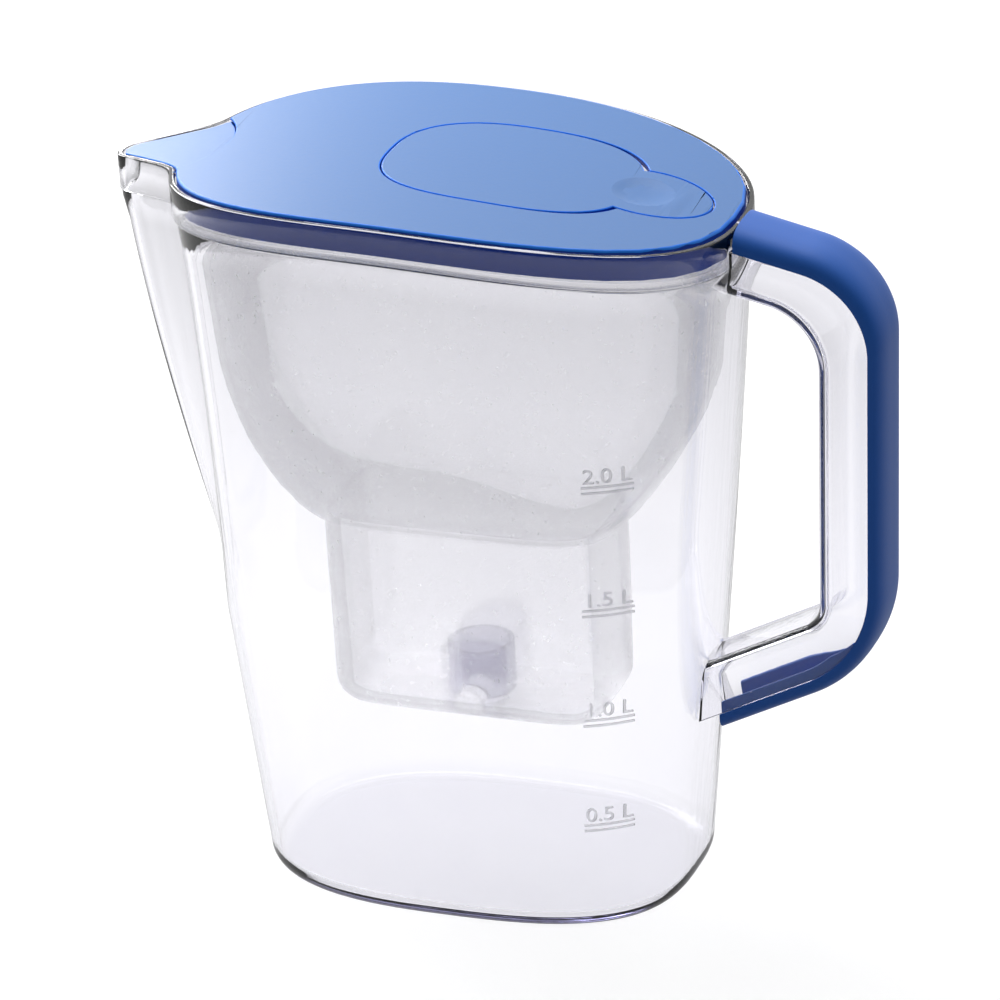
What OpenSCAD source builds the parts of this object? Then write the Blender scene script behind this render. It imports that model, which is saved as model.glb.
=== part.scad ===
// Water filter pitcher with a flip lid, in millimetres.
// +X runs from the jug to its handle, the spout is at -X, and +Z is up.
// The origin is the middle of the flat underside.

/* [Jug] */
// Height of the rim at its highest point
rim_h = 250; // [220:1:280]
// Radius of the arch that the rim follows from spout to handle
arch_r = 570; // [400:10:2000]
// Place of the highest point of the rim, towards the spout
arch_x = 24; // [0:1:40]
// Reach of the base outline towards the spout
base_front = 72.3; // [66:0.1:78]
// Reach of the base outline towards the handle
base_back = 74.2; // [66:0.1:78]
// Half width of the base outline
base_half_w = 51; // [46:0.5:56]
// Radius of the rounding round the bottom edge
base_round = 7; // [5:0.5:12]
// Reach of the rim from the origin towards the handle
rim_back = 98; // [94:0.5:104]
// Reach of the oval part of the rim towards the spout
rim_front = 89.5; // [88:0.5:95]
// Half width of the rim
rim_half_w = 63.5; // [60:0.5:68]
// Thickness of the clear wall
wall = 2.4; // [2:0.1:3]
// Thickness of the clear floor
floor_t = 3.6; // [3:0.1:5]
// Thickness of the wall in the collar that holds the lid
collar_wall = 2; // [1.6:0.1:2.4]
// How far the collar stands out from the wall below it
collar_step = 1.5; // [1:0.1:2]
// Depth of the ledge that carries the funnel, below the rim
ledge_depth = 12; // [11:0.5:15]

/* [Spout] */
// Reach of the spout's tip from the origin
spout_reach = 114.7; // [110:0.1:120]
// Angle of each side of the spout to the jug's middle plane
spout_angle = 29.8; // [26:0.5:34]
// Radius of the spout's tip
spout_nose_r = 7.9; // [6:0.1:10]
// Height at which the spout starts to leave the wall
spout_start_h = 93; // [70:1:110]
// Height at which the spout has its full reach
spout_full_h = 224; // [200:1:235]

/* [Handle] */
// Width of the handle
handle_w = 25; // [22:0.5:28]
// Reach of the handle's outer face at its upper corner, before that is rounded
handle_top_x = 146.8; // [142:0.1:152]
// Reach of the handle's outer face at its lower corner, before that is rounded
handle_low_x = 143.3; // [140:0.1:150]
// Height of the upper outer corner, before it is rounded
handle_top_h = 224.4; // [218:0.1:232]
// Height of the lower outer corner, before it is rounded
handle_low_h = 90.6; // [82:0.1:100]
// Fall of the upper arm towards the corner
handle_top_angle = 13.2; // [8:0.2:16]
// Rise of the lower arm towards the corner
handle_low_angle = 26.8; // [22:0.2:32]
// Radius of the upper outer corner
handle_top_r = 32; // [26:1:36]
// Radius of the lower outer corner
handle_low_r = 44; // [38:1:52]
// Depth of the coloured grip, from its seam to the crown of its face
grip_depth = 4.7; // [4:0.1:7]
// Depth of the clear frame behind the grip
frame_depth = 17.1; // [15:0.1:19]
// Depth of the clear frame in the upper arm
arm_depth = 15.7; // [14:0.1:19]
// Radius of the frame's upper inner corner
frame_top_r = 21; // [10:1:24]
// Radius of the frame's lower inner corner
frame_low_r = 10; // [6:1:16]
// Wall of the clear frame's channel
frame_wall = 2.6; // [2:0.1:3.2]
// Length of a snap tab inside the grip
tab_l = 9; // [6:0.5:12]
// Thickness of a snap tab
tab_t = 1.5; // [1:0.1:2]
// Thickness of the grip's shell
grip_t = 2.4; // [2:0.1:2.8]
// How far the grip's snap tabs reach into the frame
tab_reach = 5; // [3:0.5:8]
// Gap between a snap tab and the frame
tab_gap = 0.1; // [0.05:0.05:0.3]
// Gap between the grip's lower end and the jug's wall
grip_end_gap = 5.4; // [3:0.2:8]

/* [Funnel] */
// Gap between the funnel's wall and the jug's wall
funnel_gap = 3; // [2:0.5:5]
// Thickness of the funnel's wall
funnel_wall = 1.8; // [1.4:0.1:2.4]
// Thickness of the flange that hangs on the ledge
flange_t = 2.4; // [1.8:0.1:2.6]
// Height at which the bowl starts to close in
bowl_h = 186; // [175:1:195]
// Height of the shoulder at the mouth of the pocket
shoulder_h = 128; // [115:1:140]
// Height of the underside of the pocket
pocket_h = 61; // [50:1:75]
// Reach of the pocket towards the spout
pocket_front = 45; // [40:0.5:50]
// Reach of the pocket towards the handle
pocket_back = 50.3; // [44:0.1:54]
// Half width of the pocket
pocket_half_w = 26; // [22:0.5:30]
// Rounding round the bottom of the pocket
pocket_round = 9; // [6:0.5:12]
// Outer radius of the tube that takes the cartridge's outlet
tube_r = 11.1; // [10:0.1:13]
// Radius of the tube's bore
tube_bore_r = 9.4; // [8:0.1:9.5]
// Height of the tube above the pocket's floor
tube_h = 16.6; // [12:0.2:20]
// Place of the tube along the jug
tube_x = 1.5; // [-2:0.5:5]

/* [Lid] */
// How far the lid's top stands above the jug's rim
lid_rise = 0.9; // [0.5:0.1:1.2]
// Thickness of the lid's top
lid_t = 2; // [1.8:0.1:2.2]
// Depth of the upper band of the lid's edge, below its top face
band_depth = 5.7; // [5:0.1:6]
// Depth of the ring under the lid, below the lid's top face
ring_depth = 9.8; // [9:0.1:10]
// Thickness of the lid's band and ring
skirt_t = 2; // [1.6:0.1:2.4]
// Gap between the lid and the jug's collar
lid_gap = 0.5; // [0.3:0.1:0.8]
// Radius of the curved step behind the spout flap
step_r = 33.4; // [32:0.2:35]
// Place of the step along the jug, at the middle plane
step_x = 75.9; // [75:0.1:77]

/* [Fill flap] */
// Middle of the flap's wide end
flap_x = 21.8; // [20:0.2:24]
// Half length of the flap's wide end
flap_half_l = 41.2; // [40:0.2:42]
// Half width of the flap's wide end
flap_half_w = 31; // [26:0.5:36]
// Middle of the thumb tab
tab_x = 66.9; // [66:0.1:68]
// Half length of the thumb tab
tab_half_l = 20.8; // [20:0.2:21]
// Half width of the thumb tab
tab_half_w = 16; // [15.4:0.1:16.4]
// Thickness of the flap
flap_t = 2; // [1.8:0.1:2.2]
// Gap all round the flap
flap_gap = 0.5; // [0.4:0.1:0.7]
// Place of the flap's hinge along the jug
flap_hinge_x = 62.8; // [62.6:0.1:63.4]
// Depth of the flap's hinge axis below the lid's top
flap_hinge_depth = 2.6; // [2.5:0.1:2.8]
// Extra room behind the flap's shoulders, which swing back as it opens
flap_relief = 1.4; // [1.2:0.1:1.6]
// Radius of the flap's hinge pins
pin_r = 1.2; // [1:0.05:1.3]
// Running clearance round the hinge pins of both flaps
pin_gap = 0.05; // [0.02:0.01:0.1]

/* [Spout flap] */
// Thickness of the spout flap
spout_flap_t = 1.6; // [1.4:0.1:1.7]
// Drop of the spout flap below the lid's top
spout_flap_drop = 1.2; // [1.1:0.1:1.5]
// Gap between the spout flap and the step behind it
spout_flap_gap = 0.3; // [0.3:0.1:0.5]
// How much the step's lower part is set back, so that the flap's rear edge can swing down
step_relief = 1; // [1:0.1:1.4]
// Place of the spout flap's hinge along the jug
spout_hinge_x = 84; // [83.6:0.1:84.4]
// Depth of the hinge axis below the spout flap's top
spout_hinge_depth = 1.2; // [1:0.1:1.3]
// Radius of the spout flap's pins
spout_pin_r = 1; // [0.8:0.1:1.1]

/* [Level marks] */
// Heights of the lines, from the lowest to the highest
mark_heights = [38.8, 77.8, 117.8, 161.8];
// Direction of the marks from the middle of the jug, towards the viewer's side
mark_angle = -35.7; // [-60:0.5:-20]
// Angle that a line spans
mark_span = 11; // [6:0.5:16]
// Height of a line
mark_t = 0.8; // [0.5:0.1:1.2]
// Distance between the two lines of a mark
mark_pitch = 2; // [1.6:0.1:3]
// How far a line stands out of the wall
mark_proud = 0.5; // [0.3:0.1:0.8]

/* [Hidden] */

// Colours, as the eye sees them
clear_colour = [0.88, 0.87, 0.95, 0.35];
frost_colour = [0.84, 0.83, 0.92, 0.6];
lid_colour = [0.50, 0.63, 0.90];
grip_colour = [0.22, 0.38, 0.74];

// Superellipse exponents of the outlines, towards the spout and the handle
base_n_front = 2.54;
base_n_back = 2.85;
grip_n = 2.25;
rim_n_front = 2.6;
rim_n_back = 2.4;
// The collar's step at the spout and at the handle
nose_step = 0.6;
back_step = 0.4;
// The wall aims at this wider, softer oval, which the spout then reshapes
wall_front = rim_front + 10.5;
wall_n_front = 2.1;
pocket_n = 5;
flap_n = 2.65;
neck_blend = 50;
spout_ease = 1.8;
// How much the wall bulges towards the handle, where 1 is straight
wall_bulge = 1.12;
bowl_curve = 1.35;

// Clearances between parts that lift off and what carries them
seat_gap = 0.3;
ring_set_back = 0.4;
bite = 0.6;
tiny = 0.01;

// Directions of the outline's points, closer together at the spout
ring_n = 80;
angle_pull = 32;
angles = [for (i = [0:ring_n - 1]) 360 * i / ring_n + angle_pull * sin(360 * i / ring_n)];

arch_z = rim_h - arch_r;
function arch_h(x) = arch_z + sqrt(arch_r * arch_r - pow(x + arch_x, 2));

lid_arch_r = arch_r + lid_rise;
function lid_h(x) = arch_z + sqrt(lid_arch_r * lid_arch_r - pow(x + arch_x, 2));

function mix(a, b, t) = a + (b - a) * t;
function mix4(a, b, t) = [for (i = [0:len(a) - 1]) mix(a[i], b[i], t)];

// Distance from the middle to an oval, where o = [front, back, half width, front n, back n]
function oval(o, a) =
    let (c = cos(a), s = sin(a), reach = c < 0 ? o[0] : o[1], n = c < 0 ? o[3] : o[4])
    pow(pow(abs(c) / reach, n) + pow(abs(s) / o[2], n), -1 / n);

rim_oval = [rim_front, rim_back, rim_half_w, rim_n_front, rim_n_back];
base_oval = [base_front, base_back, base_half_w, base_n_front, base_n_back];
wall_oval = [wall_front, rim_back - back_step, rim_half_w - collar_step, wall_n_front, rim_n_back];

// The spout in plan: two straight sides that meet in a round nose
nose_c = spout_reach - spout_nose_r;
spout_apex = nose_c + spout_nose_r / sin(spout_angle);
nose_end = atan2(spout_nose_r * cos(spout_angle), nose_c + spout_nose_r * sin(spout_angle));
function from_spout(a) = abs(a - 180);
function spout_plan(a) =
    let (f = from_spout(a))
    f > 60 ? 1
    : f < nose_end ? nose_c * cos(f) + sqrt(pow(spout_nose_r, 2) - pow(nose_c * sin(f), 2))
    : spout_apex * sin(spout_angle) / sin(f + spout_angle);
function rim_plan(a) =
    let (o = oval(rim_oval, a))
    o * pow(1 + pow(spout_plan(a) / o, neck_blend), 1 / neck_blend);

// Distance from the middle when an outline is moved inwards by d, square to itself
slope_step = 0.5;
function skew(r0, r1, r2) = sqrt(1 + pow((r2 - r0) / (2 * slope_step * PI / 180 * r1), 2));
function inset_rim(a, d) =
    let (r = rim_plan(a))
    r - d * skew(rim_plan(a - slope_step), r, rim_plan(a + slope_step));
function inset_oval(o, a, d) =
    let (r = oval(o, a))
    r - d * skew(oval(o, a - slope_step), r, oval(o, a + slope_step));

// The collar stands out from the wall on both sides, and less so at the spout and the handle
function ramp(x, from, to) = min(max((x - from) / (to - from), 0), 1);
function step_at(a) =
    mix(mix(nose_step, collar_step, ramp(from_spout(a), 12, 20)), back_step, ramp(from_spout(a), 130, 160));

// The outside of the clear wall at height z, which grows a spout as it rises
wall_top_h = rim_h - ledge_depth - wall;
function back_share(z) = 1 - pow(1 - min(max(z / wall_top_h, 0), 1), wall_bulge);
function spout_share(z) =
    let (t = min(max((z - spout_start_h) / (spout_full_h - spout_start_h), 0), 1))
    1 - pow(1 - t, spout_ease);
function wall_plan(a, z) =
    let (o = mix4(base_oval, wall_oval, z / wall_top_h),
         bulged = [o[0], mix(base_back, wall_oval[1], back_share(z)), o[2], o[3], o[4]])
    oval(bulged, a) + spout_share(z) * (inset_rim(a, step_at(a)) - oval(wall_oval, a));
function inset_wall(a, z, d) =
    let (r = wall_plan(a, z))
    r - d * skew(wall_plan(a - slope_step, z), r, wall_plan(a + slope_step, z));

function polar(r, a, z) = [r * cos(a), r * sin(a), z];
function rim_z(a) = arch_h(rim_plan(a) * cos(a));
// A height on the wall, counted so that every column ends under the arched rim
function column_z(a, z) = z * (rim_z(a) - ledge_depth - 4) / (rim_h - ledge_depth - 4);

// Joins rings of ring_n points into one closed skin, with a point at each end
module skin(rings, first, last) {
    count = len(rings);
    points = concat([first], [for (r = rings) each r], [last]);
    end = len(points) - 1;
    faces = concat(
        [for (j = [0:ring_n - 1]) [0, 1 + (j + 1) % ring_n, 1 + j]],
        [for (i = [0:count - 2], j = [0:ring_n - 1], half = [0, 1])
            let (a = 1 + i * ring_n + j, b = 1 + i * ring_n + (j + 1) % ring_n)
            half == 0 ? [a, b, b + ring_n] : [a, b + ring_n, a + ring_n]],
        [for (j = [0:ring_n - 1])
            [end, end - ring_n + j, end - ring_n + (j + 1) % ring_n]]);
    polyhedron(points = points, faces = [for (f = faces) [f[0], f[2], f[1]]], convexity = 8);
}

// ---------------------------------------------------------------- jug

// Heights of the wall's rings, as shares of the wall's height
outer_shares = [0.145, 0.265, 0.39, 0.455, 0.52, 0.59, 0.67, 0.765, 0.86, 0.94];
inner_shares = [0.94, 0.765, 0.59, 0.455, 0.265];
round_steps = [0, 30, 60, 90];

function bottom_ring(turn, inset, lift, r) =
    [for (a = angles) polar(inset_wall(a, lift + r, inset + r * (1 - sin(turn))), a,
                            lift + r * (1 - cos(turn)))];

module jug_shell() {
    inner_round = base_round - wall;
    outside = concat(
        [for (t = round_steps) bottom_ring(t, 0, 0, base_round)],
        [for (s = outer_shares) let (z = s * wall_top_h)
            [for (a = angles) polar(wall_plan(a, column_z(a, z)), a, column_z(a, z))]],
        [[for (a = angles) polar(inset_rim(a, step_at(a)), a, rim_z(a) - ledge_depth - wall)],
         [for (a = angles) polar(rim_plan(a), a, rim_z(a) - ledge_depth)],
         [for (a = angles) polar(rim_plan(a), a, rim_z(a) - collar_wall / 4)]]);
    inside = concat(
        [[for (a = angles) polar(inset_rim(a, collar_wall / 4), a, rim_z(a))],
         [for (a = angles) polar(inset_rim(a, collar_wall * 3 / 4), a, rim_z(a))],
         [for (a = angles) polar(inset_rim(a, collar_wall), a, rim_z(a) - collar_wall / 4)],
         [for (a = angles) polar(inset_rim(a, collar_wall), a, rim_z(a) - ledge_depth)],
         [for (a = angles) polar(inset_rim(a, step_at(a) + wall), a, rim_z(a) - ledge_depth - tiny)]],
        [for (s = inner_shares) let (z = s * wall_top_h)
            [for (a = angles) polar(inset_wall(a, column_z(a, z), wall), a, column_z(a, z))]],
        [for (i = [len(round_steps) - 1:-1:0]) bottom_ring(round_steps[i], wall, floor_t, inner_round)]);
    below = 1;
    color(clear_colour)
        difference() {
            skin(concat([[for (p = outside[0]) p - [0, 0, below]]], outside, inside),
                 [0, 0, -below], [0, 0, floor_t]);
            translate([-2 * spout_reach, -2 * rim_half_w, -2 * below])
                cube([4 * spout_reach, 4 * rim_half_w, 2 * below]);
        }
}

// ---------------------------------------------------------------- handle

// Side view of the handle, as [x, z] points. Its outer face runs along three lines, the upper arm,
// the upright part and the lower arm, and a depth counts inwards from each of them.
top_dir = [-cos(handle_top_angle), sin(handle_top_angle)];
low_dir = [-cos(handle_low_angle), -sin(handle_low_angle)];
side_dir = unit([handle_top_x - handle_low_x, handle_top_h - handle_low_h]);
function cross2(u, v) = u[0] * v[1] - u[1] * v[0];
function meet(p, u, q, v) = p + u * cross2(q - p, v) / cross2(u, v);
function on_top(depth) = [handle_top_x, handle_top_h - depth / cos(handle_top_angle)];
function on_low(depth) = [handle_low_x, handle_low_h + depth / cos(handle_low_angle)];
function on_side(depth) = [handle_top_x, handle_top_h] + depth * [-side_dir[1], side_dir[0]];
function arm_top_z(x, depth) = on_top(depth)[1] + (handle_top_x - x) * tan(handle_top_angle);
function arm_low_z(x, depth) = on_low(depth)[1] - (handle_low_x - x) * tan(handle_low_angle);

// Points of an arc of radius r that rounds the corner c between directions d0 and d1
arc_steps = 14;
function unit(v) = v / norm(v);
function corner_arc(p, c, q, r) =
    let (u = unit(p - c), v = unit(q - c), half = acos(u * v) / 2,
         m = c + unit(u + v) * r / sin(half),
         from = c + u * r / tan(half) - m, to = c + v * r / tan(half) - m,
         turn = 180 - 2 * half, way = sign(from[0] * to[1] - from[1] * to[0]))
    [for (i = [0:arc_steps])
        let (t = way * turn * i / arc_steps)
        m + [from[0] * cos(t) - from[1] * sin(t), from[0] * sin(t) + from[1] * cos(t)]];

// The jug's own profile at the handle, moved out by g, which the arms end on
function wall_x(z) = mix(base_back, rim_back - back_step, back_share(z));
collar_low = arch_h(rim_back) - ledge_depth;
side_levels = [for (s = concat([0], outer_shares)) column_z(0, s * wall_top_h)];
module jug_side(g) {
    translate([g, 0])
        polygon(concat([[0, -base_round], [base_back, -base_round]],
                       [for (z = side_levels) [wall_x(z), z]],
                       [[rim_back - back_step, collar_low - wall], [rim_back, collar_low],
                        [rim_back, rim_h], [0, rim_h]]));
}
// Where the arms end, g outside the jug, for the line at a depth below the outer face
function top_end_x(g) = rim_back + g;
function low_end_x(depth, g, x = base_back, tries = 8) =
    tries == 0 ? x : low_end_x(depth, g, wall_x(arm_low_z(x, depth)) + g, tries - 1);

// Side view of the handle, from the upper arm's end to the lower arm's end, at the depths
// d = [upper arm, upright part, lower arm] with corners of radius r and gaps g at the two ends
function handle_line(d, r, g) =
    let (a = [top_end_x(g[0]), arm_top_z(top_end_x(g[0]), d[0])],
         b = meet(on_top(d[0]), top_dir, on_side(d[1]), side_dir),
         c = meet(on_low(d[2]), low_dir, on_side(d[1]), side_dir),
         e = [low_end_x(d[2], g[1]), arm_low_z(low_end_x(d[2], g[1]), d[2])])
    concat([a], corner_arc(a, b, c, r[0]), corner_arc(b, c, e, r[1]), [e]);
function outer_line(depth, g) =
    handle_line([depth, depth, depth], [handle_top_r - depth, handle_low_r - depth], g);
function backwards(list) = [for (i = [len(list) - 1:-1:0]) list[i]];

module side_extrude(w) {
    rotate([90, 0, 0]) linear_extrude(height = w, center = true) children();
}

module handle_frame() {
    arm = grip_depth + arm_depth;
    whole = grip_depth + frame_depth;
    buried = [-4 * wall, -4 * wall];
    seam = outer_line(grip_depth, buried / 2);
    inner = handle_line([arm, whole, whole], [frame_top_r, frame_low_r], buried);
    channel_out = outer_line(0, buried / 2);
    channel_in = handle_line([arm - frame_wall, whole - frame_wall, whole - frame_wall],
                             [frame_top_r + frame_wall, frame_low_r + frame_wall], buried);
    color(clear_colour)
        difference() {
            side_extrude(handle_w) difference() {
                polygon(concat(seam, backwards(inner)));
                jug_side(-bite);
            }
            side_extrude(2 * grip_inner_half) difference() {
                polygon(concat(channel_out, backwards(channel_in)));
                jug_side(frame_wall);
            }
        }
}

// Cross-section of the grip as [depth, y]: a U that is open at the seam, with a domed face
grip_half = handle_w / 2;
grip_inner_half = grip_half - frame_wall;
dome_steps = 9;
dome_turn = 80;
grip_u = [for (i = [0:dome_steps]) let (t = dome_turn * i / dome_steps)
    [grip_depth * (1 - pow(sin(t), 2 / grip_n)), grip_half * pow(cos(t), 2 / grip_n)]];
function mirrored(list) = [for (p = backwards(list)) [p[0], -p[1]]];
grip_inside = [[grip_t, grip_inner_half], [grip_depth, grip_inner_half]];
grip_section = concat(grip_u, mirrored(grip_u), mirrored(grip_inside), grip_inside);

// The triangles of the U, in fans from the two inner corners of its shell
half_n = len(grip_u);
u_corner = [2 * half_n + 2, 2 * half_n + 1];
u_cap = concat(
    [for (j = [0:half_n - 1]) [u_corner[0], j, j + 1]],
    [for (j = [half_n:2 * half_n - 1]) [u_corner[1], j, j + 1]],
    [[u_corner[1], u_corner[0], half_n], [u_corner[0], u_corner[0] + 1, 0]]);

// Joins rings of the U's points into one solid with a flat cap at each end
module loft(rings, cap) {
    n = len(rings[0]);
    last = (len(rings) - 1) * n;
    sides = [for (i = [0:len(rings) - 2], j = [0:n - 1], half = [0, 1])
        let (k = (j + 1) % n, a = i * n + j, b = i * n + k)
        half == 0 ? [a, b + n, b] : [a, a + n, b + n]];
    caps = [for (t = cap) each [t, [last + t[2], last + t[1], last + t[0]]]];
    polyhedron(points = [for (r = rings) each r], faces = concat(sides, caps), convexity = 8);
}

// A pair of snap tabs inside the grip, a share t of the way from p to q on its outer face
module grip_tabs(p, q, t) {
    along = unit(q - p);
    at = mix(p, q, t);
    translate([at[0], 0, at[1]])
        rotate([0, -atan2(along[1], along[0]), 0]) rotate([0, 90, 0])
            for (side = [-1, 1])
                translate([-grip_depth - tab_reach, side * (grip_inner_half - tab_gap - tab_t / 2) - tab_t / 2,
                           -tab_l / 2])
                    cube([tab_reach + grip_depth - grip_t / 2, tab_t, tab_l]);
}

module handle_grip() {
    ends = [seat_gap, grip_end_gap];
    lines = [for (p = grip_section) outer_line(p[0], ends)];
    outer = outer_line(0, ends);
    end = len(outer) - 1;
    color(grip_colour)
        union() {
            loft([for (k = [0:end])
                     [for (i = [0:len(grip_section) - 1])
                         [lines[i][k][0], grip_section[i][1], lines[i][k][1]]]],
                 u_cap);
            for (t = [0.1, 0.5, 0.9]) grip_tabs(outer[end - arc_steps - 1], outer[arc_steps + 1], t);
            grip_tabs(outer[1], outer[0], 0.6);
            for (t = [0.3, 0.8]) grip_tabs(outer[end], outer[end - 1], t);
        }
}

// ---------------------------------------------------------------- level marks

// A bar of the wall's own curve between two directions, standing out of the wall at height z
module wall_bar(z) {
    steps = 6;
    turns = [for (i = [0:steps]) mark_angle + mark_span * (i / steps - 0.5)];
    function at(a, d) = let (r = wall_plan(a, z) + d) [r * cos(a), r * sin(a)];
    translate([0, 0, z]) linear_extrude(height = mark_t)
        polygon(concat([for (a = turns) at(a, mark_proud)],
                       [for (a = backwards(turns)) at(a, -bite)]));
}

module level_marks() {
    color(clear_colour)
        for (z = mark_heights, pair = [0, 1])
            wall_bar(z + pair * mark_pitch);
}

// ---------------------------------------------------------------- funnel

flange_inset = collar_wall + lid_gap;
pocket_oval = [pocket_front, pocket_back, pocket_half_w, pocket_n, pocket_n];
bowl_oval = [rim_front - 10.5, wall_x(bowl_h) - wall - funnel_gap - 1, rim_half_w - 12.5, rim_n_front, rim_n_back];

function funnel_ring(o, z, inset) = [for (a = angles) polar(inset_oval(o, a, inset), a, z)];
function bowl_share(t) = pow(1 - pow(t, bowl_curve), 1 / bowl_curve);
bowl_steps = [0, 0.12, 0.26, 0.42, 0.58, 0.72, 0.84, 0.93, 1];
function bowl_ring(t, inset, lift) =
    funnel_ring(mix4(pocket_oval, bowl_oval, bowl_share(t)),
                mix(bowl_h, shoulder_h, t) + lift * t, inset);

module funnel_bowl() {
    neck_inset = collar_wall + lid_gap + collar_step + funnel_gap;
    function under_flange(a, d) = polar(inset_oval(rim_oval, a, neck_inset + d), a,
                                        rim_z_oval(a) - ledge_depth + seat_gap);
    function rim_z_oval(a) = arch_h(oval(rim_oval, a) * cos(a));
    flange_low = [for (a = angles) polar(inset_oval(rim_oval, a, flange_inset), a,
                                         rim_z_oval(a) - ledge_depth + seat_gap)];
    flange_high = [for (p = flange_low) p + [0, 0, flange_t]];
    floor_in = pocket_h + funnel_wall;
    hole_r = (tube_r + tube_bore_r) / 2;
    outside = concat(
        [[for (a = angles) [tube_x + hole_r * cos(a), hole_r * sin(a), pocket_h]]],
        [for (t = round_steps)
            funnel_ring(pocket_oval, pocket_h + pocket_round * (1 - cos(t)), pocket_round * (1 - sin(t)) + 0.5)],
        [for (i = [len(bowl_steps) - 1:-1:0]) bowl_ring(bowl_steps[i], 0, 0)],
        [[for (a = angles) under_flange(a, 0)], flange_low, flange_high]);
    inner_round = pocket_round - funnel_wall;
    inside = concat(
        [[for (a = angles) under_flange(a, funnel_wall) + [0, 0, flange_t]]],
        [for (t = bowl_steps) bowl_ring(t, funnel_wall, funnel_wall)],
        [for (i = [len(round_steps) - 1:-1:0]) let (t = round_steps[i])
            funnel_ring(pocket_oval, floor_in + inner_round * (1 - cos(t)),
                        funnel_wall + inner_round * (1 - sin(t)) + 0.5)],
        [[for (a = angles) [tube_x + hole_r * cos(a), hole_r * sin(a), floor_in]]]);
    color(frost_colour) ring_skin(concat(outside, inside));
}

// Joins rings into one closed band, the last one back to the first
module ring_skin(rings) {
    count = len(rings);
    faces = [for (i = [0:count - 1], j = [0:ring_n - 1], half = [0, 1])
        let (k = (j + 1) % ring_n, n = (i + 1) % count,
             a = i * ring_n + j, b = i * ring_n + k, c = n * ring_n + k, d = n * ring_n + j)
        half == 0 ? [a, c, b] : [a, d, c]];
    polyhedron(points = [for (r = rings) each r], faces = faces, convexity = 8);
}

module guide_tube() {
    notch_w = 10;
    notch_h = 6;
    color(frost_colour)
        translate([tube_x, 0, pocket_h + funnel_wall])
            difference() {
                cylinder(r = tube_r, h = tube_h, $fn = 96);
                translate([0, 0, -1]) cylinder(r = tube_bore_r, h = tube_h + 2, $fn = 96);
                translate([0, -tube_r, 0]) rotate([-90, 0, 0])
                    cylinder(r = notch_w / 2, h = tube_r, $fn = 48);
            }
}

// ---------------------------------------------------------------- lid

// Everything under the arched top of the lid, lowered by d
module under_arch(d) {
    translate([-arch_x, 0, arch_z]) rotate([90, 0, 0])
        cylinder(r = lid_arch_r - d, h = 4 * rim_half_w, center = true, $fn = 1440);
}

// A tall block with an outline made from the oval or the spout's rim
block_low = rim_h - 60;
block_h = 70;
module block() {
    translate([0, 0, block_low]) linear_extrude(height = block_h) children();
}
module oval_plan(inset) {
    polygon([for (a = angles) let (r = inset_oval(rim_oval, a, inset)) [r * cos(a), r * sin(a)]]);
}
module rim_outline(inset) {
    polygon([for (a = angles) let (r = inset_rim(a, inset)) [r * cos(a), r * sin(a)]]);
}

lid_inset = collar_wall + lid_gap;
step_c = -step_x - step_r;
module step_cut(g) {
    translate([step_c, 0, block_low]) cylinder(r = step_r + g, h = block_h, $fn = 180);
}

// The keyhole outline of the flap, grown by g
function ellipse_points(x, half_l, half_w, n) =
    [for (a = [0:5:355])
        let (c = cos(a), s = sin(a))
        [x + half_l * sign(c) * pow(abs(c), 2 / n), half_w * sign(s) * pow(abs(s), 2 / n)]];
module flap_oval(g) {
    polygon(ellipse_points(flap_x, flap_half_l + g, flap_half_w + g, flap_n));
}
module keyhole(g) {
    flap_oval(g);
    polygon(ellipse_points(tab_x, tab_half_l + g, tab_half_w + g, 2));
}

// A round bar along Y at a hinge, between two places in y
module y_bar(r, from, to) {
    translate([0, to, 0]) rotate([90, 0, 0]) cylinder(r = r, h = to - from, $fn = 48);
}
module both_sides() {
    children();
    mirror([0, 1, 0]) children();
}

knuckle_r = 2.4;
lug_t = 4;
flap_axis = [flap_hinge_x, 0, lid_h(flap_hinge_x) - flap_hinge_depth];
flap_boss_y = tab_half_w - 1.2;
flap_lug_y = [tab_half_w + flap_gap + seat_gap, tab_half_w + flap_gap + seat_gap + lug_t];
spout_axis = [-spout_hinge_x, 0, lid_h(-spout_hinge_x) - spout_flap_drop - spout_hinge_depth];
spout_knuckle_r = 2.2;
spout_pin_y = [18.5, 23.2];
spout_boss_y = [22.2, 24.2];
spout_corner_y = 21.2;
seat_w = 1.6;
seat_t = 1.2;
seat_end_x = 48;

module lid_cover() {
    color(lid_colour)
        difference() {
            union() {
                difference() {
                    intersection() {
                        block() oval_plan(lid_inset);
                        under_arch(0);
                    }
                    under_arch(band_depth);
                    intersection() {
                        block() oval_plan(lid_inset + skirt_t);
                        under_arch(lid_t);
                    }
                    block() keyhole(flap_gap);
                    block() translate([flap_relief, 0]) flap_oval(flap_gap);
                }
                flap_seat();
                both_sides() {
                    translate(flap_axis) y_bar(knuckle_r, flap_lug_y[0], flap_lug_y[1]);
                    intersection() {
                        translate(spout_axis) y_bar(spout_knuckle_r, spout_boss_y[0], spout_boss_y[1]);
                        block() oval_plan(lid_inset);
                        under_arch(0);
                    }
                }
            }
            step_cut(0);
            intersection() {
                step_cut(step_relief);
                under_arch(spout_flap_drop);
            }
            both_sides() {
                translate(flap_axis) y_bar(pin_r + pin_gap, flap_boss_y, flap_lug_y[1] + tiny);
                translate(spout_axis) y_bar(spout_pin_r + pin_gap, spout_pin_y[0], spout_pin_y[1] + seat_gap);
            }
        }
}

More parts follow.
